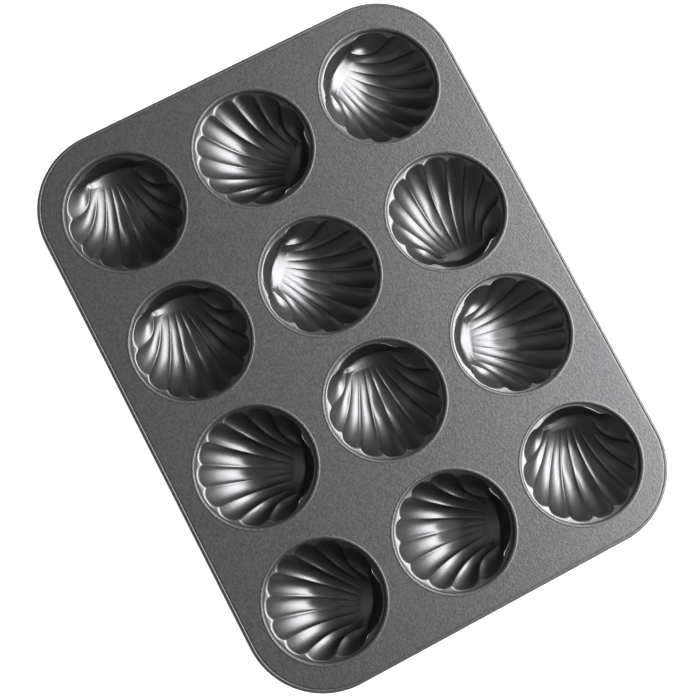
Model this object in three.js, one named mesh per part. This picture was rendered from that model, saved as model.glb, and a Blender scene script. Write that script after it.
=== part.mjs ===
// Shell muffin pan: a flat steel deck with twelve scallop-shell cups seamed into its holes and a wired rim.
// Millimetres, +Z up. X runs along the pan, Y across it, and the cups stand on z = 0.
import * as THREE from 'three';

// Driving dimensions of the whole pan
const panHeight = 24;
const cornerRadius = 47;
const sheet = 0.6;
const seamGap = 0.3;

// Hole in the deck and its collar
const mouthRadius = 34.7;
const hookReach = 1.8;
const mouthSides = 24;

// Flat deck left between the cups' seams, and from the outer seams to the pan's edge.
// The two middle rows stand a little closer than the outer ones.
const middleRowWeb = 6;
const outerRowWeb = 9.5;
const columnWeb = 8;
const endMargin = 13;
const sideMargin = 11.5;

// Rolled rim
const wireDiameter = 1.8;
const wireButtGap = 1.5;
const wireSides = 6;
const rollStep = 45;
const rollWrap = 270;
const cornerSteps = 8;

// Scallop shell: u points from the hinge to the front, v to the side, both from the cup's centre.
// On each side of the axis are the inner flutes, one outer flute and an ear.
const ledgeWidth = 1.1;
const ledgeDish = 30;
const scallopDepth = 2.4;
const innerFlutes = 3;
const fluteSpread = 24.7;
const outerSpread = 30;
const hingeSpan = 67.8;
const ridgeBow = 0.2;
const ridgeHeight = 0.9;
const earDepth = 2;
const bowlPower = 2;
const footPress = 2;

// Hinge plate, with the comb of ridge ends along its front and a raised shoulder at each end.
// Insets are from the lobes' radius.
const plateInset = 5;
const cornerInset = 8;
const shoulderInset = 10.1;
const shoulderHalf = 14.8;
const shoulderLift = 5.4;
const combInset = 11.4;
const combStep = 2.7;
const combSpread = 0.045;
const plateDepth = 13;
const plateSlope = 25;
const sinkReach = 0.5;
const hingeInset = 0.8;

// Lines that the shell's skin is made of
const fluteShoulders = [0.3, 0.7];
const shellRows = [0, 0.24, 0.5, 0.78, 1];
const hingeColumns = 3;
const steepestSlope = 68;

// Direction of each shell's hinge, in degrees from +X
const hingeTurn = {
  a1: 175, b1: 46, c1: 217.5,
  a2: 176, b2: 229, c2: 357,
  a3: 60, b3: 175, c3: 250,
  a4: 58, b4: 74, c4: 165,
};

// Seam sizes that follow from the sheet and the gap
const collarDepth = 3 * sheet + 2 * seamGap;
const hookRadius = mouthRadius + sheet + hookReach;
const ledgeDrop = collarDepth + seamGap;
const ledgeTop = panHeight - ledgeDrop;
const floorDepth = ledgeTop - sheet;
const flangeRadius = hookRadius + seamGap;
const seamRadius = flangeRadius + sheet;

// Layout that follows from the seams
const middleRowGap = 2 * seamRadius + middleRowWeb;
const outerRowGap = 2 * seamRadius + outerRowWeb;
const columnPitch = 2 * seamRadius + columnWeb;
const panLength = middleRowGap + 2 * (outerRowGap + seamRadius + endMargin);
const panWidth = 2 * (columnPitch + seamRadius + sideMargin);

// Rim sizes that follow from the wire
const rollInner = wireDiameter / 2 + seamGap;
const rollOuter = rollInner + sheet;
const rollHalfLength = panLength / 2 - rollOuter;
const rollHalfWidth = panWidth / 2 - rollOuter;
const rollCorner = cornerRadius - rollOuter;
const rollHeight = panHeight - rollOuter;

// Shell sizes that follow from the mouth
const { clamp, degToRad: radians, lerp } = THREE.MathUtils;
const lobeRadius = mouthRadius - ledgeWidth;
const plateBack = lobeRadius - plateInset;
const cornerBack = lobeRadius - cornerInset;
const shoulderBack = lobeRadius - shoulderInset;
const combBack = lobeRadius - combInset;
const bowlDepth = floorDepth + footPress;
const ledgeBend = sheet * Math.tan(radians(ledgeDish / 2));
const lanesOut = innerFlutes + 2;
const earSpread = 180 - hingeSpan / 2 - innerFlutes * fluteSpread - outerSpread;

// A closed skin made of rings of points, bands between rings and flat fills
class Skin {
  constructor() {
    this.points = [];
    this.triangles = [];
  }

  ring(points) {
    const first = this.points.length;
    this.points.push(...points);
    return points.map((_, step) => first + step);
  }

  triangle([a, b, c], turned) {
    this.triangles.push(turned ? [a, c, b] : [a, b, c]);
  }

  // Distance between two points, seen from above
  span(a, b) {
    return Math.hypot(this.points[a].x - this.points[b].x, this.points[a].y - this.points[b].y);
  }

  // The band's front is on the left of the way from ring a to ring b, seen along the rings; turned, it is
  // its back. Each of its quads is split along the shorter diagonal.
  band(a, b, { closed = true, turned = false } = {}) {
    const spans = closed ? a.length : a.length - 1;
    for (let step = 0; step < spans; step += 1) {
      const next = (step + 1) % a.length;
      const backwards = this.span(a[next], b[step]) < 0.99 * this.span(a[step], b[next]);
      this.triangle([a[step], b[step], backwards ? a[next] : b[next]], turned);
      this.triangle([backwards ? b[step] : a[step], b[next], a[next]], turned);
    }
  }

  // Triangles from a middle point to the counter-clockwise ring around it; turned, they face down
  cap(middle, ring, turned = false) {
    const [centre] = this.ring([middle]);
    ring.forEach((id, step) => this.triangle([centre, id, ring[(step + 1) % ring.length]], turned));
  }

  fill(outline, holes, facesUp) {
    const flat = (ring) => ring.map((id) => new THREE.Vector2(this.points[id].x, this.points[id].y));
    const ids = [outline, ...holes].flat();
    for (const corners of THREE.ShapeUtils.triangulateShape(flat(outline), holes.map(flat))) {
      const [a, b, c] = corners.map((corner) => ids[corner]);
      const [p, q, r] = [a, b, c].map((id) => this.points[id]);
      const turnsLeft = (q.x - p.x) * (r.y - p.y) > (q.y - p.y) * (r.x - p.x);
      this.triangle([a, b, c], turnsLeft !== facesUp);
    }
  }

  geometry() {
    const geometry = new THREE.BufferGeometry().setFromPoints(this.points);
    geometry.setIndex(this.triangles.flat());
    geometry.computeVertexNormals();
    return geometry;
  }
}

const circle = (radius, z, centre = new THREE.Vector2()) => Array.from({ length: mouthSides }, (_, side) => {
  const angle = 2 * Math.PI * side / mouthSides;
  return new THREE.Vector3(centre.x + radius * Math.cos(angle), centre.y + radius * Math.sin(angle), z);
});

// The rim's centre line moved outwards by offset, counter-clockwise from the front right corner
function rimLoop(offset, z) {
  const points = [];
  const radius = rollCorner + offset;
  [[1, -1], [1, 1], [-1, 1], [-1, -1]].forEach(([sideX, sideY], corner) => {
    const centreX = sideX * (rollHalfLength - rollCorner);
    const centreY = sideY * (rollHalfWidth - rollCorner);
    for (let step = 0; step <= cornerSteps; step += 1) {
      const angle = (corner - 1 + step / cornerSteps) * Math.PI / 2;
      const x = centreX + radius * Math.cos(angle);
      const y = centreY + radius * Math.sin(angle);
      points.push(new THREE.Vector3(x, y, z));
    }
  });
  return points;
}

const rollPoint = (radius, degrees) => [
  radius * Math.cos(radians(degrees)),
  rollHeight + radius * Math.sin(radians(degrees)),
];

function rollAngles() {
  const angles = [];
  for (let turned = 0; turned <= rollWrap; turned += rollStep) {
    angles.push(90 - turned);
  }
  return angles;
}

function cupCentre(name) {
  const column = 'abc'.indexOf(name[0]) - 1;
  const row = Number(name[1]);
  const fromMiddle = middleRowGap / 2 + (row === 1 || row === 4 ? outerRowGap : 0);
  return new THREE.Vector2(row > 2 ? fromMiddle : -fromMiddle, column * columnPitch);
}

// Deck: flat top, collared holes with a hooked lower edge, and an edge rolled under around the wire
function makeDeck(cupNames) {
  const skin = new Skin();
  const outside = rollAngles().map((angle) => rollPoint(rollOuter, angle));
  const inside = rollAngles().map((angle) => rollPoint(rollInner, angle)).reverse();
  const roll = [...outside, ...inside].map(([offset, z]) => skin.ring(rimLoop(offset, z)));
  roll.slice(1).forEach((ring, step) => skin.band(roll[step], ring));

  const collarProfile = [
    [mouthRadius + sheet, panHeight],
    [mouthRadius, panHeight - sheet],
    [mouthRadius, panHeight - collarDepth],
    [hookRadius, panHeight - collarDepth],
    [hookRadius, panHeight - collarDepth + sheet],
    [mouthRadius + sheet, panHeight - collarDepth + sheet],
    [mouthRadius + sheet, panHeight - sheet],
  ];
  const collars = cupNames.map((name) => {
    const rings = collarProfile.map(([radius, z]) => skin.ring(circle(radius, z, cupCentre(name))));
    rings.slice(1).forEach((ring, step) => skin.band(ring, rings[step]));
    return rings;
  });
  skin.fill(roll[0], collars.map((rings) => rings[0]), true);
  skin.fill(roll.at(-1), collars.map((rings) => rings.at(-1)), false);
  return skin.geometry();
}

// Rim wire: one bent length whose ends meet in the middle of a long side
function makeRimWire() {
  const skin = new Skin();
  const sections = Array.from({ length: wireSides }, (_, side) => {
    const [offset, z] = rollPoint(wireDiameter / 2, -360 * side / wireSides);
    const endY = -rollHalfWidth - offset;
    const start = new THREE.Vector3(wireButtGap / 2, endY, z);
    const end = new THREE.Vector3(-wireButtGap / 2, endY, z);
    return skin.ring([start, ...rimLoop(offset, z), end]);
  });
  sections.forEach((section, side) => {
    skin.band(section, sections[(side + 1) % wireSides], { closed: false });
  });
  for (let side = 1; side < wireSides - 1; side += 1) {
    const [a, b, c] = [sections[0], sections[side], sections[side + 1]];
    skin.triangles.push([a[0], c[0], b[0]], [a.at(-1), b.at(-1), c.at(-1)]);
  }
  return skin.geometry();
}

// How much of the ridge stands at a place across a flute: 1 on the ridges at 0 and 1, 0 in the middle
const ridgeShare = (across) => 1 - Math.sin(Math.PI * across);

// Heights below the ledge: of the sloping hinge plate, and of the bowl and the dished ledge at a radius
const plateHeight = (u) => -plateDepth - (u + plateBack) * Math.tan(radians(plateSlope));
const bowlHeight = (radius, wall) => -bowlDepth * (1 - (radius / wall) ** bowlPower);
const dishHeight = (radius) => (radius - mouthRadius) * Math.tan(radians(ledgeDish));

// Place at a radius and bearing from the cup's centre
const onBearing = (radius, bearing) => {
  return new THREE.Vector2(radius * Math.cos(bearing), radius * Math.sin(bearing));
};

// One line of the shell along a flute or an ear, from the hinge plate to the scalloped outline.
// Its lane counts flutes from the axis; whole lanes are ridges. Heights are below the ledge.
function fluteColumn(lane) {
  const hand = Math.sign(lane);
  const inner = Math.min(Math.abs(lane), innerFlutes);
  const outer = clamp(Math.abs(lane) - innerFlutes, 0, 1);
  const ear = clamp(Math.abs(lane) - innerFlutes - 1, 0, 1);
  const ridge = ridgeShare(lane - Math.floor(lane));
  const outline = lobeRadius - scallopDepth * ridge;
  const bearing = hand * radians(inner * fluteSpread + outer * outerSpread + ear * earSpread);

  const startBack = lerp(lerp(combBack, shoulderBack, outer), cornerBack, ear);
  const combPlace = combStep * inner * (1 + combSpread * inner ** 2);
  const start = new THREE.Vector2(-startBack, hand * lerp(combPlace, shoulderHalf, outer));
  const startHeight = plateHeight(start.x) + shoulderLift * outer;
  const way = onBearing(outline, bearing).sub(start);
  const bow = new THREE.Vector2(way.y, -way.x).setLength(ridgeBow * lane * Math.abs(lane) * (1 - ear));
  const sink = startHeight - bowlHeight(start.length(), lobeRadius);
  const pocket = earDepth * (1 - ridge) * (Math.ceil(outer) + Math.ceil(ear)) / 2;
  return shellRows.map((share) => {
    const arch = Math.sin(Math.PI * share);
    const place = start.clone().addScaledVector(way, share).addScaledVector(bow, arch);
    const bowl = bowlHeight(place.length(), lerp(lobeRadius, outline, share ** 3));
    const sunk = sink * clamp(1 - share / sinkReach, 0, 1) ** 2;
    const relief = ridgeHeight * ridge * arch - pocket * arch ** 2 + dishHeight(outline) * share ** 2;
    return new THREE.Vector3(place.x, place.y, Math.max(bowl + sunk + relief, -floorDepth));
  });
}

// One line up the steep wall behind the hinge plate; side runs from 1 to -1 along the wall's foot
function hingeColumn(side) {
  const middle = 1 - side ** 2;
  const bearing = Math.PI - side * radians(hingeSpan / 2);
  const outline = lobeRadius - lerp(hingeInset, scallopDepth, ridgeShare((1 - side) / 2));
  const cornerHeight = plateHeight(-cornerBack) + shoulderLift;
  const footBack = lerp(cornerBack, plateBack, middle);
  const foot = new THREE.Vector3(-footBack, side * shoulderHalf, lerp(cornerHeight, -plateDepth, middle));
  const { x, y } = onBearing(outline, bearing);
  const top = new THREE.Vector3(x, y, dishHeight(outline));
  return shellRows.map((share) => foot.clone().lerp(top, share));
}

// Every line of the shell, counter-clockwise: ear, flutes, ear, hinge wall
function shellColumns() {
  const columns = [];
  for (let lane = -lanesOut; lane < lanesOut; lane += 1) {
    for (const across of [0, ...fluteShoulders]) {
      columns.push(fluteColumn(lane + across));
    }
  }
  columns.push(fluteColumn(lanesOut));
  for (let column = 1; column <= hingeColumns; column += 1) {
    columns.push(hingeColumn(1 - 2 * column / (hingeColumns + 1)));
  }
  return columns;
}

// Middle of the hinge plate, where the plate's triangles meet
function plateMiddle() {
  const u = -(plateBack + combBack) / 2;
  return new THREE.Vector3(u, 0, plateHeight(u));
}

// The skin of a shell between its plate's middle and its outline; turned, it faces down
function addShell(skin, middle, rows, turned) {
  const rings = rows.map((row) => skin.ring(row));
  rings.slice(1).forEach((ring, step) => skin.band(rings[step], ring, { turned }));
  skin.cap(middle, rings[0], turned);
  return rings;
}

// Underside of a shell: each point goes straight down until the sheet is as thick across the slope as it is
// on the flat, and no lower than the feet. The outline goes out under the ledge.
function underside(middle, rows) {
  const upper = new Skin();
  const rings = addShell(upper, middle, rows, false);
  const normals = upper.geometry().getAttribute('normal');
  const leastUpward = Math.cos(radians(steepestSlope));
  const lowered = (point, id) => {
    const drop = sheet / Math.max(normals.getZ(id), leastUpward);
    return point.clone().setZ(Math.max(point.z - drop, -floorDepth - sheet));
  };
  const under = rows.map((row, step) => row.map((point, column) => lowered(point, rings[step][column])));
  under[under.length - 1] = rows.at(-1).map((point) => {
    const outward = new THREE.Vector3(point.x, point.y, 0).setLength(sheet / 2);
    return point.clone().add(outward).setZ(point.z - sheet);
  });
  return { middle: lowered(middle, upper.points.length - 1), rows: under };
}

// Shell cup: the scalloped bowl, its dished ledge, and the ledge's edge hooked round the deck's collar
function makeShellCup(turn) {
  const columns = shellColumns();
  const rows = shellRows.map((_, step) => columns.map((column) => column[step]));
  const under = underside(plateMiddle(), rows);
  const place = new THREE.Matrix4().makeRotationZ(radians(turn) + Math.PI).setPosition(0, 0, ledgeTop);
  const placed = (point) => point.clone().applyMatrix4(place);

  const skin = new Skin();
  const inside = addShell(skin, placed(plateMiddle()), rows.map((row) => row.map(placed)), false);
  const outside = addShell(skin, placed(under.middle), under.rows.map((row) => row.map(placed)), true);

  const hookUnder = panHeight - collarDepth + sheet + seamGap;
  const hookInner = mouthRadius + sheet + seamGap;
  const flange = [
    [mouthRadius, ledgeTop],
    [flangeRadius, ledgeTop],
    [flangeRadius, hookUnder],
    [hookInner, hookUnder],
    [hookInner, hookUnder + sheet],
    [seamRadius, hookUnder + sheet],
    [seamRadius, ledgeTop - sheet],
    [mouthRadius + ledgeBend, ledgeTop - sheet],
  ].map(([radius, z]) => skin.ring(circle(radius, z)));
  flange.slice(1).forEach((ring, step) => skin.band(flange[step], ring));
  skin.fill(flange[0], [inside.at(-1)], true);
  skin.fill(flange.at(-1), [outside.at(-1)], false);
  return skin.geometry();
}

const coatedSteel = { color: 0x77787a, roughness: 0.42, metalness: 0.75 };
const glossyShell = { color: 0x5c5d5f, roughness: 0.3, metalness: 0.8 };
const bareWire = { color: 0xa8a9ab, roughness: 0.35, metalness: 1 };

function addPiece(group, name, geometry, finish) {
  const mesh = new THREE.Mesh(geometry, new THREE.MeshStandardMaterial(finish));
  mesh.name = name;
  group.add(mesh);
  return mesh;
}

const pan = new THREE.Group();
const cupNames = Object.keys(hingeTurn);
addPiece(pan, 'deck_sheet', makeDeck(cupNames), coatedSteel);
addPiece(pan, 'rim_wire', makeRimWire(), bareWire);
for (const name of cupNames) {
  const centre = cupCentre(name);
  const cup = addPiece(pan, `shell_cup_${name}`, makeShellCup(hingeTurn[name]), glossyShell);
  cup.position.set(centre.x, centre.y, 0);
}

export default pan;
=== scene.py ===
"""Looks of a shell muffin pan: its deck sheet, its scallop-shell cups, its rim wire and a plain studio."""
import math

import bpy
from mathutils import Matrix, Vector


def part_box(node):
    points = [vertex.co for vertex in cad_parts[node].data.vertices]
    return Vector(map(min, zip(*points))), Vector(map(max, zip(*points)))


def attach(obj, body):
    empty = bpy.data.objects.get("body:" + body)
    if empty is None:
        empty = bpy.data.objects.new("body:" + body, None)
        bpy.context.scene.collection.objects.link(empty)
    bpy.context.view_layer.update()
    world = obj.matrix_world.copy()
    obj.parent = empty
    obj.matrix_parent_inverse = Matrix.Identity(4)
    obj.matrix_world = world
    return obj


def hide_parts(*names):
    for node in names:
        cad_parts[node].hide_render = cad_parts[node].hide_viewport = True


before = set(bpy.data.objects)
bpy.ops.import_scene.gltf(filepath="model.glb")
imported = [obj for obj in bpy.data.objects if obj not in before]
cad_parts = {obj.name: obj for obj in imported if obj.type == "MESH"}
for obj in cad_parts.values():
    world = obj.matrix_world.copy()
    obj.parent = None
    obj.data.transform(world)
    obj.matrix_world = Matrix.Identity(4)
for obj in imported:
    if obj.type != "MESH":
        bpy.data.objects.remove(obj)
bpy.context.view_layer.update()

bl_info = {
    "name": "Shell Muffin Pan",
    "version": (1, 0, 0),
    "blender": (4, 5, 0),
    "location": "3D View > Sidebar > Muffin Pan",
    "description": "Builds a coated steel baking pan with scallop-shell cups",
    "category": "Add Mesh",
}

BODY = "root"
DECK_LOW, DECK_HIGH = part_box("deck_sheet")
CUP_NODES = sorted(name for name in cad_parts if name.startswith("shell_cup_"))

# Direction of each shell's hinge, in degrees from +X
HINGE_TURN = {
    "a1": 175, "b1": 46, "c1": 217.5,
    "a2": 176, "b2": 229, "c2": 357,
    "a3": 60, "b3": 175, "c3": 250,
    "a4": 58, "b4": 74, "c4": 165,
}

# Lanes of one shell: an ear, the flutes, the other ear and the hinge wall
FLUTES = 8
EAR_LANES = 2
INNER_FLUTES = FLUTES / 2 - 1
FAN_LANES = FLUTES + EAR_LANES
LANES = FAN_LANES + 1
LANE_STEPS = 16

# Rows of one shell, from the middle of the hinge plate to the end of the hook
PLATE_ROWS = 8
SHELL_ROWS = 48
LEDGE_ROWS = 8
HOOK_ROWS = 2
SHELL_END = PLATE_ROWS + SHELL_ROWS
LEDGE_END = SHELL_END + LEDGE_ROWS
WALL_END = LEDGE_END + HOOK_ROWS
SHEET_END = WALL_END + HOOK_ROWS

# Form of one shell, as powers, shares and lengths along and across its lanes
NOTCH_POWER = 1.7  # narrowness of the notches in the outline
WALL_POWER = 3.0  # how late the bowl's side takes up the notches
RIDGE_ROUND = 0.6  # share of a ridge's height that is broad, under its narrow crest
CREST_POWER = 4.0  # narrowness of that crest
RIDGE_MEAN = 0.25  # share of the ridge height that the flutes are sunk by
ARCH_POWER = 0.5  # how soon the ridges rise at both ends
COMB_RELIEF = 0.12  # share of the ridge height that is reached next to the comb
GROWTH_POWER = 1.4  # how late the ridges grow to their full height
COMB_REACH = 0.5  # share of a flute in which it comes down to the comb
OUTER_POCKET = 0.5  # depth of an outermost flute's pocket, as a share of an ear's
EDGE_POWER = 4.0  # squareness of the plate's back edge
SHOULDER_POWER = 10.0  # how near its corners that edge rises to the shoulders
LIFT_POWER = 6.0  # how near its edge the plate leaves its own slope
FLOOR_ROUNDING = 0.002  # rounding round the flat bottom
LEDGE_ROUNDING = 0.0005  # rounding at the ledge's level

# Grid steps of the deck's collars: flat bead, bend, straight part and hook
MOUTH_STEPS = 96
COLLAR_FLAT_ROWS = 6
COLLAR_ROUND_ROWS = 5
COLLAR_ROUND_END = COLLAR_FLAT_ROWS + COLLAR_ROUND_ROWS
COLLAR_DOWN_END = COLLAR_ROUND_END + 1
COLLAR_END = COLLAR_DOWN_END + 1

# Grid steps of the rolled rim and its wire
CORNERS = 4
CORNER_STEPS = 24
RIM_COLUMNS = CORNERS * (CORNER_STEPS + 1)
GROOVE_ROWS = 9
ROLL_ROWS = 20
RIM_END = GROOVE_ROWS + ROLL_ROWS
GROOVE_POWER = 1.5  # how far outwards the groove is deepest
WIRE_SIDES = 16

# Flat rows next to the deck's top, which keep its shading flat
GUARD_ROWS = 1

MERGE_DISTANCE = 2e-6
MARK = "grid_row"
FIRST_ROW = 0.1  # marks under this belong to the row that borders the deck's top
HALF_STEP = 0.5  # whole numbers are told apart half-way between them

# Studio: half the floor's side, camera sensor in millimetres, and the soft boxes
FLOOR_HALF = 3.0
SENSOR_WIDTH = 36.0
WHITE = (1.0, 1.0, 1.0, 1.0)
# Each soft box: degrees round from the picture's right, degrees up, distance and two sides
SOFT_BOXES = {
    "key": (15, 38, 0.75, (1.1, 0.6)),
    "fill": (180, 48, 1.0, (0.8, 0.8)),
    "back": (72, 25, 1.0, (0.9, 0.6)),
}


def cup_centre(node):
    """Middle of a cup's seam, seen from above."""
    low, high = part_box(node)
    return (low + high) / 2


class Wire:
    """A node socket that takes part in arithmetic: each operation adds one Math node."""

    def __init__(self, graph, socket):
        self.graph = graph
        self.socket = socket

    def math(self, operation, *values):
        sockets = dict(enumerate((self,) + values))
        return self.graph.wire("ShaderNodeMath", {"operation": operation}, sockets)

    def turned(self, operation, value):
        return self.graph.wire("ShaderNodeMath", {"operation": operation}, {0: value, 1: self})

    def __add__(self, value):
        return self.math("ADD", value)

    def __radd__(self, value):
        return self.math("ADD", value)

    def __sub__(self, value):
        return self.math("SUBTRACT", value)

    def __rsub__(self, value):
        return self.turned("SUBTRACT", value)

    def __mul__(self, value):
        return self.math("MULTIPLY", value)

    def __rmul__(self, value):
        return self.math("MULTIPLY", value)

    def __truediv__(self, value):
        return self.math("DIVIDE", value)

    def __rtruediv__(self, value):
        return self.turned("DIVIDE", value)

    def __pow__(self, value):
        return self.math("POWER", value)

    def __neg__(self):
        return self.math("MULTIPLY", -1.0)

    def __gt__(self, value):
        return self.math("GREATER_THAN", value)

    def __lt__(self, value):
        return self.math("LESS_THAN", value)

    def sin(self):
        return self.math("SINE")

    def cos(self):
        return self.math("COSINE")

    def tan(self):
        return self.math("TANGENT")

    def sqrt(self):
        return self.math("SQRT")

    def floor(self):
        return self.math("FLOOR")

    def low(self, value):
        return self.math("MINIMUM", value)

    def high(self, value):
        return self.math("MAXIMUM", value)

    def smooth_low(self, value, distance):
        return self.math("SMOOTH_MIN", value, distance)

    def smooth_high(self, value, distance):
        return self.math("SMOOTH_MAX", value, distance)

    def between(self, start, end):
        """Share of the way from start to end, held at 0 and 1 outside."""
        return ((self - start) / (end - start)).high(0.0).low(1.0)

    def eased(self):
        return self * self * (3.0 - 2.0 * self)

    def blend(self, other, share):
        return self + (other - self) * share


class Graph:
    """A node tree under construction."""

    def __init__(self, tree):
        self.tree = tree

    def node(self, kind, settings=None, sockets=None):
        """Adds a node, sets its settings, then fills or links its sockets."""
        node = self.tree.nodes.new(kind)
        for name, value in (settings or {}).items():
            setattr(node, name, value)
        for key, value in (sockets or {}).items():
            if isinstance(value, Wire):
                self.tree.links.new(value.socket, node.inputs[key])
            else:
                node.inputs[key].default_value = value
        return node

    def wire(self, kind, settings=None, sockets=None, output=0):
        return Wire(self, self.node(kind, settings, sockets).outputs[output])

    def vector(self, x, y, z):
        return self.wire("ShaderNodeCombineXYZ", sockets={0: x, 1: y, 2: z})

    def parts(self, vector):
        node = self.node("ShaderNodeSeparateXYZ", sockets={0: vector})
        return [Wire(self, socket) for socket in node.outputs]


class ShapeGraph(Graph):
    """A geometry tree whose sizes are named inputs."""

    def __init__(self, name, sizes):
        super().__init__(bpy.data.node_groups.new(name, "GeometryNodeTree"))
        face = self.tree.interface
        face.new_socket("Geometry", in_out="INPUT", socket_type="NodeSocketGeometry")
        face.new_socket("Geometry", in_out="OUTPUT", socket_type="NodeSocketGeometry")
        for label in sizes:
            face.new_socket(label, in_out="INPUT", socket_type="NodeSocketFloat")
        face.new_socket("Finish", in_out="INPUT", socket_type="NodeSocketMaterial")
        self.source = self.tree.nodes.new("NodeGroupInput")
        self.sink = self.tree.nodes.new("NodeGroupOutput")

    def size(self, label):
        return Wire(self, self.source.outputs[label])

    def grid(self, columns, rows):
        """A flat grid with its column and row numbers as fields."""
        sockets = {"Size X": columns, "Size Y": rows, "Vertices X": columns + 1, "Vertices Y": rows + 1}
        mesh = self.wire("GeometryNodeMeshGrid", sockets=sockets)
        column, row, _ = self.parts(self.wire("GeometryNodeInputPosition"))
        return mesh, column + columns / 2, row + rows / 2

    def placed(self, mesh, position):
        return self.wire("GeometryNodeSetPosition", sockets={"Geometry": mesh, "Position": position})

    def flipped(self, mesh):
        return self.wire("GeometryNodeFlipFaces", sockets={"Mesh": mesh})

    def marked(self, mesh, value):
        """Keeps a field with the mesh, so that it can be read after the mesh has changed."""
        sockets = {"Geometry": mesh, "Name": MARK, "Value": value}
        return self.wire("GeometryNodeStoreNamedAttribute", sockets=sockets)

    def mark(self):
        return self.wire("GeometryNodeInputNamedAttribute", sockets={"Name": MARK})

    def joined(self, *meshes):
        node = self.node("GeometryNodeJoinGeometry")
        for mesh in meshes:
            self.tree.links.new(mesh.socket, node.inputs[0])
        return Wire(self, node.outputs[0])

    def close(self, mesh):
        """Ends the tree: real geometry, merged seams, smooth faces and the finish."""
        mesh = self.wire("GeometryNodeRealizeInstances", sockets={"Geometry": mesh})
        merging = {"Geometry": mesh, "Distance": MERGE_DISTANCE}
        mesh = self.wire("GeometryNodeMergeByDistance", sockets=merging)
        mesh = self.wire("GeometryNodeRemoveAttribute", sockets={"Geometry": mesh, "Name": MARK})
        mesh = self.wire("GeometryNodeSetShadeSmooth", sockets={"Geometry": mesh})
        finish = {"Geometry": mesh, "Material": self.size("Finish")}
        mesh = self.wire("GeometryNodeSetMaterial", sockets=finish)
        self.tree.links.new(mesh.socket, self.sink.inputs[0])
        return self.tree


def grown_piece(name, tree, values, points, thickness):
    """Runs a geometry tree and a sheet thickness on a new object, and keeps the plain mesh."""
    seed = bpy.data.meshes.new(name)
    seed.from_pydata(points, [], [])
    piece = bpy.data.objects.new(name, seed)
    bpy.context.collection.objects.link(piece)
    growth = piece.modifiers.new("growth", "NODES")
    growth.node_group = tree
    for item in tree.interface.items_tree:
        if item.in_out == "INPUT" and item.name in values:
            growth[item.identifier] = values[item.name]
    if thickness:
        skin = piece.modifiers.new("sheet", "SOLIDIFY")
        skin.thickness = thickness
        skin.offset = -1.0
        skin.use_rim = True
    ready = piece.evaluated_get(bpy.context.evaluated_depsgraph_get())
    mesh = bpy.data.meshes.new_from_object(ready)
    piece.modifiers.clear()
    piece.data = mesh
    mesh.name = name
    if not mesh.polygons:
        raise RuntimeError(f"{name} came out empty")
    return piece


def stand_for(piece, node):
    """Ties a piece to the body and hides the CAD node that it stands for."""
    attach(piece, BODY)
    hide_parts(node)


def length_setting(name, description, metres):
    return bpy.props.FloatProperty(name=name, description=description, default=metres, unit="LENGTH")


def angle_setting(name, description, degrees):
    turn = math.radians(degrees)
    return bpy.props.FloatProperty(name=name, description=description, default=turn, subtype="ANGLE")


def power_setting(name, description, watts):
    return bpy.props.FloatProperty(name=name, description=description, default=watts, unit="POWER")


def plain_setting(name, description, value):
    return bpy.props.FloatProperty(name=name, description=description, default=value)


def colour_setting(name, description, colour):
    return bpy.props.FloatVectorProperty(name=name, description=description, default=colour, subtype="COLOR")


class PanSizes(bpy.types.PropertyGroup):
    """Sizes of the deck, its seams and its rim."""

    sheet: length_setting("Sheet", "Thickness of the pressed steel sheet", 0.0006)
    seam_gap: length_setting("Seam gap", "Room between the hooked edges", 0.0003)
    mouth_radius: length_setting("Mouth radius", "Inner radius of a hole's collar", 0.0347)
    hook_reach: length_setting("Hook reach", "How far a collar's hook stands out", 0.0018)
    bend_across: length_setting("Bend across", "Width of the bend where the deck turns down", 0.0016)
    bend_down: length_setting("Bend down", "Depth of the bend where the deck turns down", 0.0018)
    bead_width: length_setting("Bead width", "Width of the raised bead round a hole", 0.001)
    bead_height: length_setting("Bead height", "Height of the raised bead round a hole", 0.0002)
    corner_radius: length_setting("Corner radius", "Radius of the pan's corners", 0.047)
    wire_diameter: length_setting("Wire", "Diameter of the wire in the rim", 0.0018)
    wire_butt_gap: length_setting("Butt gap", "Gap between the wire's ends", 0.0015)
    groove_width: length_setting("Groove width", "Width of the groove inside the rolled rim", 0.0018)
    groove_depth: length_setting("Groove depth", "Depth of the groove inside the rolled rim", 0.0003)
    roll_wrap: angle_setting("Roll wrap", "How far the rim is rolled under", 270)


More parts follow.
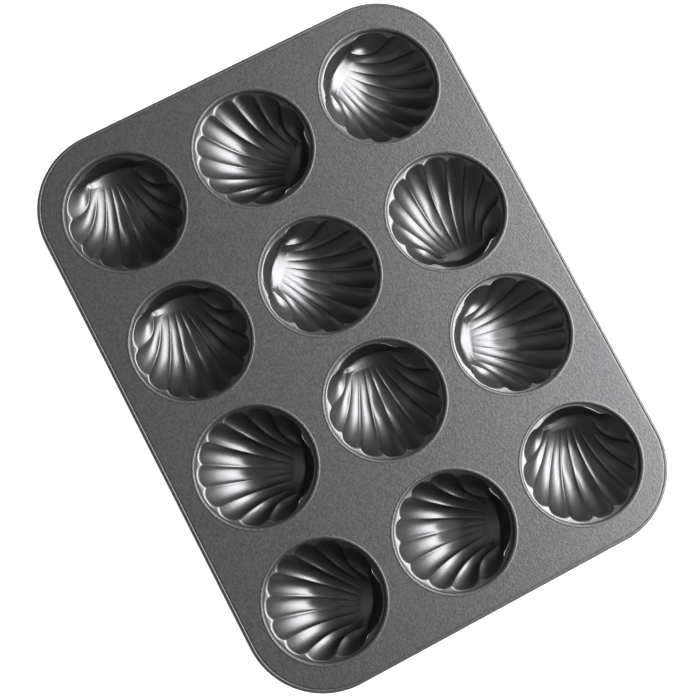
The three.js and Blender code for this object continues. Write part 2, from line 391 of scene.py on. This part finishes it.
class ShellSizes(bpy.types.PropertyGroup):
    """Shape of one scallop-shell cup."""

    ledge_width: length_setting("Ledge", "Ledge left outside the shell's lobes", 0.0008)
    scallop_depth: length_setting("Scallop", "Depth of the notches between the lobes", 0.0024)
    hinge_inset: length_setting("Hinge inset", "Hinge wall's top, in from the lobes", 0.0004)
    dish: angle_setting("Dish", "Slope of the ledge into the cup", 18)
    flute_spread: angle_setting("Flute spread", "Angle of an inner flute at the rim", 24.7)
    outer_spread: angle_setting("Outer spread", "Angle of an outermost flute at the rim", 30)
    ear_spread: angle_setting("Ear spread", "Angle of one ear at the rim", 42)
    bow: length_setting("Bow", "Bow of the ridge beside the middle one, growing as the square", 0.0002)
    comb_back: length_setting("Comb back", "Comb of ridge ends, back from the cup's middle", 0.0222)
    comb_step: length_setting("Comb step", "Distance between ridge ends in the comb", 0.0027)
    comb_spread: plain_setting("Comb spread", "How the comb's steps grow off the middle", 0.045)
    shoulder_back: length_setting("Shoulder back", "Start of an ear's ridge, back from the middle", 0.0235)
    shoulder_half: length_setting("Shoulder half", "Start of an ear's ridge, out from the axis", 0.0148)
    shoulder_lift: length_setting("Shoulder lift", "How far the shoulders stand above the plate", 0.002)
    corner_back: length_setting("Corner back", "Corners of the hinge plate, back from the middle", 0.0262)
    plate_back: length_setting("Plate back", "Middle of its back edge, back from the cup's middle", 0.0286)
    plate_depth: length_setting("Plate depth", "Depth of the hinge plate's back edge", 0.0105)
    plate_hollow: length_setting("Plate hollow", "Rise of the plate from its middle to the shoulders", 0.0034)
    plate_slope: angle_setting("Plate slope", "Slope of the hinge plate", 25)
    bowl_power: plain_setting("Bowl power", "Steepness of the bowl's side", 2.0)
    foot_press: length_setting("Foot press", "How far the bottom is pressed flat", 0.0006)
    ridge_height: length_setting("Ridge height", "Height of the ridges between the flutes", 0.0028)
    crest: plain_setting("Crest", "Roundness of the ridges", 0.1)
    ear_depth: length_setting("Ear depth", "Depth of the ears' pockets", 0.0013)


class PanFinish(bpy.types.PropertyGroup):
    """Colours of the coating and the wire."""

    deck: colour_setting("Deck", "Grey of the deck's coating", (0.096, 0.096, 0.099))
    shell: colour_setting("Shells", "Grey of the shells' coating", (0.125, 0.125, 0.128))
    wire: colour_setting("Wire", "Grey of the steel wire", (0.55, 0.55, 0.56))


class PanStudio(bpy.types.PropertyGroup):
    """Camera, lights and floor."""

    focal: plain_setting("Focal", "Focal length in millimetres", 62.1)
    aim_x: length_setting("Aim X", "Middle of the view on the deck", 0.0061)
    aim_y: length_setting("Aim Y", "Middle of the view on the deck", -0.0047)
    eye_x: length_setting("Eye X", "Place of the camera", 0.0599)
    eye_y: length_setting("Eye Y", "Place of the camera", -0.0663)
    eye_height: length_setting("Eye height", "Camera above the deck", 0.697)
    image_up: angle_setting("Image up", "Direction on the deck that is up in the picture", 152.4)
    key_power: power_setting("Key", "Power of the side light", 20.5)
    fill_power: power_setting("Fill", "Power of the far light", 0.55)
    back_power: power_setting("Back", "Power of the upper light", 1.6)
    world_grey: plain_setting("Room", "Brightness of the room", 0.12)
    floor: colour_setting("Floor", "Colour of the floor", (0.9, 0.9, 0.9))


def plate_height(size, u, v):
    """Height of the sloping hinge plate, which is hollow across the shell."""
    hollow = v / size("Shoulder Half")
    return (size("Plate Hollow") * hollow * hollow - size("Plate Depth")
            - (size("Plate Back") + u) * size("Plate Slope").tan())


def shell_tree():
    """One shell cup as a sheet: plate, flutes, ears, hinge wall, ledge and hook."""
    labels = ("Turn", "Centre X", "Centre Y", "Ledge Height", "Lobe Radius", "Scallop Depth", "Hinge Inset",
              "Dish", "Mouth Radius", "Flute Spread", "Outer Spread", "Ear Spread", "Bow", "Comb Back",
              "Comb Step", "Comb Spread", "Shoulder Back", "Shoulder Half", "Shoulder Lift", "Corner Back",
              "Plate Back", "Plate Depth", "Plate Hollow", "Plate Slope", "Bowl Depth", "Floor Depth",
              "Bowl Power", "Ridge Height", "Crest", "Ear Depth", "Flange Radius", "Hook Radius",
              "Hook Height")
    shape = ShapeGraph("shell_cup", labels)
    size = shape.size
    mesh, column, row = shape.grid(LANES * LANE_STEPS, SHEET_END)

    lane = column / LANE_STEPS
    across = lane - lane.floor()
    on_hinge = lane > FAN_LANES
    share = row.between(PLATE_ROWS, SHELL_END)
    plate_share = row.between(0.0, PLATE_ROWS)
    ledge_share = row.between(SHELL_END, LEDGE_END)
    wall_share = row.between(LEDGE_END, WALL_END)
    hook_share = row.between(WALL_END, SHEET_END)

    # Lanes off the axis: how many inner flutes, then the shares of the outermost flute and of the ear
    off_axis = lane.low(FAN_LANES) - FAN_LANES / 2
    hand = (off_axis > 0.0) * 2.0 - 1.0
    lanes_out = off_axis * hand
    inner = lanes_out.low(INNER_FLUTES)
    outer = lanes_out.between(INNER_FLUTES, INNER_FLUTES + 1.0)
    ear = lanes_out.between(INNER_FLUTES + 1.0, INNER_FLUTES + 2.0)

    # Crown: 1 on a ridge, 0 along the middle of a flute
    swell = (across * math.pi).sin()
    crest = size("Crest")
    crest_top = (1.0 + crest * crest).sqrt() - crest
    crown = 1.0 - ((swell * swell + crest * crest).sqrt() - crest) / crest_top
    ridge = crown.blend(1.0, on_hinge)

    # Plan of the flutes and ears, from the comb to the scalloped outline
    lobe = size("Lobe Radius")
    outline = lobe - size("Scallop Depth") * ridge ** NOTCH_POWER
    bearing = hand * (inner * size("Flute Spread") + outer * size("Outer Spread") + ear * size("Ear Spread"))
    comb_u = -size("Comb Back").blend(size("Shoulder Back"), outer).blend(size("Corner Back"), ear)
    comb_place = size("Comb Step") * inner * (1.0 + size("Comb Spread") * inner * inner)
    comb_v = hand * comb_place.blend(size("Shoulder Half"), outer)
    way_u = outline * bearing.cos() - comb_u
    way_v = outline * bearing.sin() - comb_v
    arch = (share * math.pi).sin().high(0.0)
    bow = size("Bow") * off_axis * lanes_out * (1.0 - ear) * arch / (way_u * way_u + way_v * way_v).sqrt()
    u = comb_u + way_u * share + way_v * bow
    v = comb_v + way_v * share - way_u * bow

    # Heights of the flutes and ears, with the ledge as zero
    comb_height = plate_height(size, comb_u, comb_v) + size("Shoulder Lift") * outer
    radius = (u * u + v * v).sqrt()
    wall = lobe.blend(outline, share ** WALL_POWER)
    bowl = ((radius / wall) ** size("Bowl Power") - 1.0) * size("Bowl Depth")
    comb_radius = (comb_u * comb_u + comb_v * comb_v).sqrt()
    bowl_at_comb = ((comb_radius / lobe) ** size("Bowl Power") - 1.0) * size("Bowl Depth")
    near_comb = 1.0 - share.between(0.0, COMB_REACH)
    pocket_share = (outer > 0.0) * OUTER_POCKET + (ear > 0.0) * (1.0 - OUTER_POCKET)
    pocket = size("Ear Depth") * pocket_share * (1.0 - ridge)
    dish_fall = size("Dish").tan()
    section = RIDGE_ROUND * ridge + (1.0 - RIDGE_ROUND) * ridge ** CREST_POWER - RIDGE_MEAN
    growth = COMB_RELIEF + (1.0 - COMB_RELIEF) * share ** GROWTH_POWER
    relief = size("Ridge Height") * section * arch ** ARCH_POWER * growth
    sink = (comb_height - bowl_at_comb) * near_comb * near_comb
    flute_height = bowl + sink + relief - pocket * arch * arch
    flute_height = flute_height - (size("Mouth Radius") - outline) * dish_fall * share * share
    flute_height = flute_height.smooth_high(-size("Floor Depth"), FLOOR_ROUNDING)

    # Hinge wall, from the plate's back edge to the outline
    side = 1.0 - (lane - FAN_LANES) * 2.0
    fan = size("Flute Spread") * INNER_FLUTES + size("Outer Spread") + size("Ear Spread")
    hinge_bearing = math.pi - side * (math.pi - fan)
    hinge_outline = lobe - size("Hinge Inset").blend(size("Scallop Depth"), crown ** NOTCH_POWER)
    foot_u = -size("Plate Back").blend(size("Corner Back"), side ** EDGE_POWER)
    foot_v = side * size("Shoulder Half")
    hinge_u = foot_u.blend(hinge_outline * hinge_bearing.cos(), share)
    hinge_v = foot_v.blend(hinge_outline * hinge_bearing.sin(), share)
    foot_height = plate_height(size, foot_u, foot_v) + size("Shoulder Lift") * side ** SHOULDER_POWER
    top_height = -(size("Mouth Radius") - hinge_outline) * dish_fall
    hinge_height = foot_height.blend(top_height, share).blend(flute_height, crown)

    u = u.blend(hinge_u, on_hinge)
    v = v.blend(hinge_v, on_hinge)
    height = flute_height.blend(hinge_height, on_hinge)

    # Dished ledge, seam flange and hook
    rim = (u * u + v * v).sqrt()
    flange = size("Flange Radius")
    wanted = rim + (flange - rim) * ledge_share - (flange - size("Hook Radius")) * hook_share
    spread = wanted / rim
    climb = (wanted.low(size("Mouth Radius")) - rim) * dish_fall * (ledge_share > 0.0)
    height = (height + climb).smooth_low(0.0, LEDGE_ROUNDING)
    plate_middle = -(size("Plate Back") + size("Comb Back")) * 0.5
    u = u * spread
    v = v * spread
    lift = height - plate_height(size, u, v)
    u = plate_middle.blend(u, plate_share)
    v = v * plate_share
    height = plate_height(size, u, v) + lift * plate_share ** LIFT_POWER + size("Hook Height") * wall_share

    turn = size("Turn") + math.pi
    x = u * turn.cos() - v * turn.sin() + size("Centre X")
    y = u * turn.sin() + v * turn.cos() + size("Centre Y")
    sheet = shape.placed(mesh, shape.vector(x, y, height + size("Ledge Height")))
    return shape.close(shape.flipped(sheet))


def rim_point(size, column, radius):
    """Place of a column of the rim's rounded rectangle, counter-clockwise, at this corner radius."""
    corner = (column / (CORNER_STEPS + 1)).floor()
    step = column - corner * (CORNER_STEPS + 1)
    turn = (corner - 1.0 + step / CORNER_STEPS) * (math.pi / 2)
    corner = corner - (corner > CORNERS - HALF_STEP) * CORNERS
    side_x = 1.0 - (corner > 1 + HALF_STEP) * 2.0
    side_y = (corner > HALF_STEP) * (corner < 2 + HALF_STEP) * 2.0 - 1.0
    x = (size("Half Length") - size("Corner Radius")) * side_x + radius * turn.cos()
    y = (size("Half Width") - size("Corner Radius")) * side_y + radius * turn.sin()
    return x, y


def deck_tree():
    """The deck as a sheet: flat top, collared holes on the seed points and a rolled rim."""
    labels = ("Deck Top", "Mouth Radius", "Bend Across", "Bend Down", "Collar Depth", "Hook Radius",
              "Bead Width", "Bead Height", "Half Length", "Half Width", "Corner Radius", "Roll Radius",
              "Roll Wrap", "Groove Width", "Groove Depth")
    shape = ShapeGraph("deck_sheet", labels)
    size = shape.size

    # Collars: a bead, the bend down into the hole, a straight part and the hook
    mesh, column, row = shape.grid(MOUTH_STEPS, COLLAR_END)
    flat_share = row.between(0.0, COLLAR_FLAT_ROWS)
    rise = row.between(GUARD_ROWS, COLLAR_FLAT_ROWS)
    bend = row.between(COLLAR_FLAT_ROWS, COLLAR_ROUND_END) * (math.pi / 2)
    down_share = row.between(COLLAR_ROUND_END, COLLAR_DOWN_END)
    hook_share = row.between(COLLAR_DOWN_END, COLLAR_END)
    mouth = size("Mouth Radius")
    bead = size("Bead Height")
    drop = size("Bend Down")
    radius = (mouth + size("Bend Across") * (1.0 - bend.sin()) + size("Bead Width") * (1.0 - flat_share)
              + (size("Hook Radius") - mouth) * hook_share)
    height = (bead * rise.eased() - (drop + bead) * (1.0 - bend.cos())
              - (size("Collar Depth") - drop) * down_share)
    turn = column * (2 * math.pi / MOUTH_STEPS)
    place = shape.vector(radius * turn.cos(), radius * turn.sin(), height)
    collar = shape.placed(shape.marked(mesh, row), place)
    collars = shape.wire("GeometryNodeInstanceOnPoints",
                         sockets={"Points": Wire(shape, shape.source.outputs[0]), "Instance": collar})
    collars = shape.wire("GeometryNodeRealizeInstances", sockets={"Geometry": collars})

    # Rim: a shallow groove, then the roll
    mesh, column, row = shape.grid(RIM_COLUMNS, RIM_END)
    roll = size("Roll Radius")
    bend = row.between(GROOVE_ROWS, RIM_END) * size("Roll Wrap")
    groove_share = row.between(0.0, GROOVE_ROWS)
    reach = size("Corner Radius") - roll + roll * bend.sin() - (1.0 - groove_share) * size("Groove Width")
    x, y = rim_point(size, column, reach)
    dip = (row.between(GUARD_ROWS, GROOVE_ROWS) ** GROOVE_POWER * math.pi).sin()
    height = roll * (bend.cos() - 1.0) - size("Groove Depth") * dip * dip
    rim = shape.flipped(shape.placed(shape.marked(mesh, row), shape.vector(x, y, height)))

    # Top: fills the room between the rim and the collars
    edges = {"Mesh": shape.joined(collars, rim), "Selection": shape.mark() < FIRST_ROW}
    outlines = shape.wire("GeometryNodeMeshToCurve", sockets=edges)
    top = shape.wire("GeometryNodeFillCurve", sockets={"Curve": outlines})
    sheet = shape.joined(collars, rim, top)
    lifted = shape.wire("GeometryNodeTransform",
                        sockets={"Geometry": sheet, "Translation": shape.vector(0.0, 0.0, size("Deck Top"))})
    return shape.close(lifted)


def rim_wire_tree():
    """The wire in the rolled rim: a bent rod whose ends meet in the middle of a long side."""
    labels = ("Wire Height", "Half Length", "Half Width", "Corner Radius", "Butt Gap", "Wire Radius")
    shape = ShapeGraph("rim_wire", labels)
    size = shape.size
    last = RIM_COLUMNS + 1
    line = shape.wire("GeometryNodeMeshLine", sockets={"Count": last + 1})
    index = shape.wire("GeometryNodeInputIndex")
    x, y = rim_point(size, (index - 1.0).high(0.0).low(last - 2.0), size("Corner Radius"))
    at_start = index < HALF_STEP
    at_end = index > last - HALF_STEP
    x = x * (1.0 - at_start - at_end) + size("Butt Gap") * 0.5 * (at_start - at_end)
    line = shape.placed(line, shape.vector(x, y, size("Wire Height")))
    path = shape.wire("GeometryNodeMeshToCurve", sockets={"Mesh": line})
    round_profile = shape.wire("GeometryNodeCurvePrimitiveCircle",
                               sockets={"Resolution": WIRE_SIDES, "Radius": size("Wire Radius")})
    rod = shape.wire("GeometryNodeCurveToMesh",
                     sockets={"Curve": path, "Profile Curve": round_profile, "Fill Caps": True})
    return shape.close(rod)


class Finish(Graph):
    """A material under construction, with its places in metres."""

    def __init__(self, name):
        self.material = bpy.data.materials.new(name)
        self.material.use_nodes = True
        self.material.node_tree.nodes.clear()
        super().__init__(self.material.node_tree)
        self.place = self.wire("ShaderNodeTexCoord", output="Object")

    def noise(self, scale, detail=2.0):
        """Noise from about -1 to 1, with its scale in waves per metre."""
        sockets = {"Vector": self.place, "Scale": scale, "Detail": detail}
        return self.wire("ShaderNodeTexNoise", sockets=sockets) * 2.0 - 1.0

    def tint(self, colour, shade):
        red, green, blue = (shade * part for part in colour)
        return self.wire("ShaderNodeCombineColor", sockets={0: red, 1: green, 2: blue})

    def bump(self, height, distance, strength):
        sockets = {"Height": height, "Distance": distance, "Strength": strength}
        return self.wire("ShaderNodeBump", sockets=sockets)

    def surface(self, sockets):
        shader = self.wire("ShaderNodeBsdfPrincipled", sockets=sockets)
        self.node("ShaderNodeOutputMaterial", sockets={"Surface": shader})
        return self.material


def deck_finish(colour):
    """Grey metallic coating with a fine sparkle."""
    finish = Finish("deck_coating")
    flakes = finish.noise(scale=900.0, detail=1.0)
    clouds = finish.noise(scale=35.0)
    wear = finish.noise(scale=220.0)
    flake_shade = 0.45
    cloud_shade = 0.03
    wear_roughness = 0.03
    flake_roughness = 0.06
    return finish.surface({
        "Base Color": finish.tint(colour, 1.0 + flakes * flake_shade + clouds * cloud_shade),
        "Metallic": 0.55,
        "Roughness": 0.46 + wear * wear_roughness + flakes * flake_roughness,
        "Normal": finish.bump(flakes, distance=0.00013, strength=0.5),
    })


def shell_finish(colour):
    """Dark semi-gloss coating."""
    finish = Finish("shell_coating")
    peel = finish.noise(scale=900.0, detail=1.0)
    clouds = finish.noise(scale=60.0)
    cloud_shade = 0.06
    peel_shade = 0.1
    cloud_roughness = 0.03
    return finish.surface({
        "Base Color": finish.tint(colour, 1.0 + clouds * cloud_shade + peel * peel_shade),
        "Metallic": 1.0,
        "Roughness": 0.36 + clouds * cloud_roughness,
        "Normal": finish.bump(peel, distance=0.00003, strength=0.4),
    })


def wire_finish(colour):
    """Drawn steel wire."""
    finish = Finish("wire_steel")
    scratches = finish.noise(scale=700.0)
    scratch_shade = 0.1
    scratch_roughness = 0.08
    return finish.surface({
        "Base Color": finish.tint(colour, 1.0 + scratches * scratch_shade),
        "Metallic": 1.0,
        "Roughness": 0.32 + scratches * scratch_roughness,
    })


def floor_finish(colour):
    """Plain pale table."""
    finish = Finish("floor")
    clouds = finish.noise(scale=3.0)
    cloud_shade = 0.01
    return finish.surface({
        "Base Color": finish.tint(colour, 1.0 + clouds * cloud_shade),
        "Roughness": 0.8,
        "Emission Color": (*colour, 1.0),
        "Emission Strength": 1.1,
    })


def seam_sizes(sizes):
    """Radii and depths of the lock seam between the deck and a cup."""
    collar_depth = 3 * sizes.sheet + 2 * sizes.seam_gap
    hook_radius = sizes.mouth_radius + sizes.sheet + sizes.hook_reach
    return collar_depth, hook_radius


class PAN_OT_deck(bpy.types.Operator):
    """Builds the deck sheet with its collared holes and rolled rim"""

    bl_idname = "muffin_pan.deck"
    bl_label = "Build Deck"

    def execute(self, context):
        sizes = context.scene.pan_sizes
        collar_depth, hook_radius = seam_sizes(sizes)
        half = (DECK_HIGH - DECK_LOW) / 2
        values = {
            "Deck Top": DECK_HIGH.z,
            "Mouth Radius": sizes.mouth_radius,
            "Bend Across": sizes.bend_across,
            "Bend Down": sizes.bend_down,
            "Collar Depth": collar_depth,
            "Hook Radius": hook_radius,
            "Bead Width": sizes.bead_width,
            "Bead Height": sizes.bead_height,
            "Half Length": half.x,
            "Half Width": half.y,
            "Corner Radius": sizes.corner_radius,
            "Roll Radius": sizes.wire_diameter / 2 + sizes.seam_gap + sizes.sheet,
            "Roll Wrap": sizes.roll_wrap,
            "Groove Width": sizes.groove_width,
            "Groove Depth": sizes.groove_depth,
            "Finish": deck_finish(context.scene.pan_finish.deck),
        }
        holes = [(cup_centre(node).x, cup_centre(node).y, 0.0) for node in CUP_NODES]
        deck = grown_piece("deck", deck_tree(), values, holes, sizes.sheet)
        stand_for(deck, "deck_sheet")
        return {"FINISHED"}


class PAN_OT_shells(bpy.types.Operator):
    """Builds the scallop-shell cups, each turned its own way"""

    bl_idname = "muffin_pan.shells"
    bl_label = "Build Shells"

    def execute(self, context):
        sizes = context.scene.pan_sizes
        shell = context.scene.shell_sizes
        collar_depth, hook_radius = seam_sizes(sizes)
        ledge_height = DECK_HIGH.z - collar_depth - sizes.seam_gap
        lobe_radius = sizes.mouth_radius - shell.ledge_width
        floor_depth = ledge_height - sizes.sheet
        values = {
            "Ledge Height": ledge_height,
            "Lobe Radius": lobe_radius,
            "Scallop Depth": shell.scallop_depth,
            "Hinge Inset": shell.hinge_inset,
            "Dish": shell.dish,
            "Mouth Radius": sizes.mouth_radius,
            "Flute Spread": shell.flute_spread,
            "Outer Spread": shell.outer_spread,
            "Ear Spread": shell.ear_spread,
            "Bow": shell.bow,
            "Comb Back": shell.comb_back,
            "Comb Step": shell.comb_step,
            "Comb Spread": shell.comb_spread,
            "Shoulder Back": shell.shoulder_back,
            "Shoulder Half": shell.shoulder_half,
            "Shoulder Lift": shell.shoulder_lift,
            "Corner Back": shell.corner_back,
            "Plate Back": shell.plate_back,
            "Plate Depth": shell.plate_depth,
            "Plate Hollow": shell.plate_hollow,
            "Plate Slope": shell.plate_slope,
            "Bowl Depth": floor_depth + shell.foot_press,
            "Floor Depth": floor_depth,
            "Bowl Power": shell.bowl_power,
            "Ridge Height": shell.ridge_height,
            "Crest": shell.crest,
            "Ear Depth": shell.ear_depth,
            "Flange Radius": hook_radius + sizes.seam_gap + sizes.sheet,
            "Hook Radius": sizes.mouth_radius + sizes.sheet + sizes.seam_gap,
            "Hook Height": 3 * sizes.sheet,
            "Finish": shell_finish(context.scene.pan_finish.shell),
        }
        tree = shell_tree()
        for node in CUP_NODES:
            place = node.removeprefix("shell_cup_")
            centre = cup_centre(node)
            turn = math.radians(HINGE_TURN[place])
            placing = {"Turn": turn, "Centre X": centre.x, "Centre Y": centre.y}
            cup = grown_piece(f"shell_{place}", tree, {**values, **placing}, [], sizes.sheet)
            stand_for(cup, node)
        return {"FINISHED"}


class PAN_OT_wire(bpy.types.Operator):
    """Builds the wire inside the rolled rim"""

    bl_idname = "muffin_pan.wire"
    bl_label = "Build Rim Wire"

    def execute(self, context):
        sizes = context.scene.pan_sizes
        low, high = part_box("rim_wire")
        radius = sizes.wire_diameter / 2
        roll = radius + sizes.seam_gap + sizes.sheet
        values = {
            "Wire Height": (low.z + high.z) / 2,
            "Half Length": DECK_HIGH.x - roll,
            "Half Width": DECK_HIGH.y - roll,
            "Corner Radius": sizes.corner_radius - roll,
            "Butt Gap": sizes.wire_butt_gap,
            "Wire Radius": radius,
            "Finish": wire_finish(context.scene.pan_finish.wire),
        }
        wire = grown_piece("wire", rim_wire_tree(), values, [], 0.0)
        stand_for(wire, "rim_wire")
        return {"FINISHED"}


class PAN_OT_studio(bpy.types.Operator):
    """Sets up the floor, the lights and the camera"""

    bl_idname = "muffin_pan.studio"
    bl_label = "Build Studio"

    def execute(self, context):
        studio = context.scene.pan_studio
        scene = context.scene
        scene.view_settings.view_transform = "Standard"
        self.lay_floor(studio)
        self.light_room(scene, studio)
        self.aim_camera(scene, studio)
        return {"FINISHED"}

    def lay_floor(self, studio):
        half = FLOOR_HALF
        mesh = bpy.data.meshes.new("floor")
        corners = [(-half, -half, 0.0), (half, -half, 0.0), (half, half, 0.0), (-half, half, 0.0)]
        mesh.from_pydata(corners, [], [(0, 1, 2, 3)])
        mesh.materials.append(floor_finish(studio.floor))
        floor = bpy.data.objects.new("floor", mesh)
        bpy.context.collection.objects.link(floor)

    def light_room(self, scene, studio):
        room = bpy.data.worlds.new("room")
        room.use_nodes = True
        backdrop = room.node_tree.nodes["Background"]
        backdrop.inputs["Color"].default_value = WHITE
        backdrop.inputs["Strength"].default_value = studio.world_grey
        scene.world = room
        right = studio.image_up - math.pi / 2
        for name, (bearing, elevation, distance, sides) in SOFT_BOXES.items():
            power = getattr(studio, f"{name}_power")
            soft_box(name, right + math.radians(bearing), math.radians(elevation), distance, sides, power)

    def aim_camera(self, scene, studio):
        lens = bpy.data.cameras.new("camera")
        lens.lens = studio.focal
        lens.sensor_width = SENSOR_WIDTH
        camera = bpy.data.objects.new("camera", lens)
        bpy.context.collection.objects.link(camera)
        eye = Vector((studio.eye_x, studio.eye_y, DECK_HIGH.z + studio.eye_height))
        aim = Vector((studio.aim_x, studio.aim_y, DECK_HIGH.z))
        up_hint = Vector((math.cos(studio.image_up), math.sin(studio.image_up), 0.0))
        camera.matrix_world = facing(eye, aim, up_hint)
        scene.camera = camera


def facing(eye, aim, up_hint):
    """Matrix of an object at eye that looks along its -Z at aim, with its Y towards the hint."""
    back = (eye - aim).normalized()
    right = up_hint.cross(back).normalized()
    up = back.cross(right)
    turn = Matrix((right, up, back)).transposed().to_4x4()
    return Matrix.Translation(eye) @ turn


def soft_box(name, bearing, elevation, distance, sides, power):
    """A rectangular light that faces the middle of the deck."""
    light = bpy.data.lights.new(name, "AREA")
    light.shape = "RECTANGLE"
    light.size, light.size_y = sides
    light.energy = power
    lamp = bpy.data.objects.new(name, light)
    bpy.context.collection.objects.link(lamp)
    level = distance * math.cos(elevation)
    middle = Vector((0.0, 0.0, DECK_HIGH.z))
    way = Vector((level * math.cos(bearing), level * math.sin(bearing), distance * math.sin(elevation)))
    lamp.matrix_world = facing(middle + way, middle, Vector((0.0, 0.0, 1.0)))


class PAN_PT_panel(bpy.types.Panel):
    """Sizes and build steps of the pan"""

    bl_idname = "PAN_PT_panel"
    bl_label = "Muffin Pan"
    bl_space_type = "VIEW_3D"
    bl_region_type = "UI"
    bl_category = "Muffin Pan"

    def draw(self, context):
        for group in GROUPS:
            box = self.layout.box()
            settings = getattr(context.scene, group)
            for name in settings.bl_rna.properties.keys():
                if name not in ("rna_type", "name"):
                    box.prop(settings, name)
        for step in STEPS:
            self.layout.operator(step.bl_idname)


GROUPS = {
    "pan_sizes": PanSizes,
    "shell_sizes": ShellSizes,
    "pan_finish": PanFinish,
    "pan_studio": PanStudio,
}
STEPS = (PAN_OT_deck, PAN_OT_shells, PAN_OT_wire, PAN_OT_studio)


def register():
    for group, kind in GROUPS.items():
        bpy.utils.register_class(kind)
        setattr(bpy.types.Scene, group, bpy.props.PointerProperty(type=kind))
    for step in STEPS:
        bpy.utils.register_class(step)
    bpy.utils.register_class(PAN_PT_panel)


def unregister():
    bpy.utils.unregister_class(PAN_PT_panel)
    for step in STEPS:
        bpy.utils.unregister_class(step)
    for group, kind in GROUPS.items():
        delattr(bpy.types.Scene, group)
        bpy.utils.unregister_class(kind)


def main():
    """Builds the pan and its studio."""
    register()
    bpy.ops.muffin_pan.deck()
    bpy.ops.muffin_pan.shells()
    bpy.ops.muffin_pan.wire()
    bpy.ops.muffin_pan.studio()


if __name__ == "__main__":
    main()
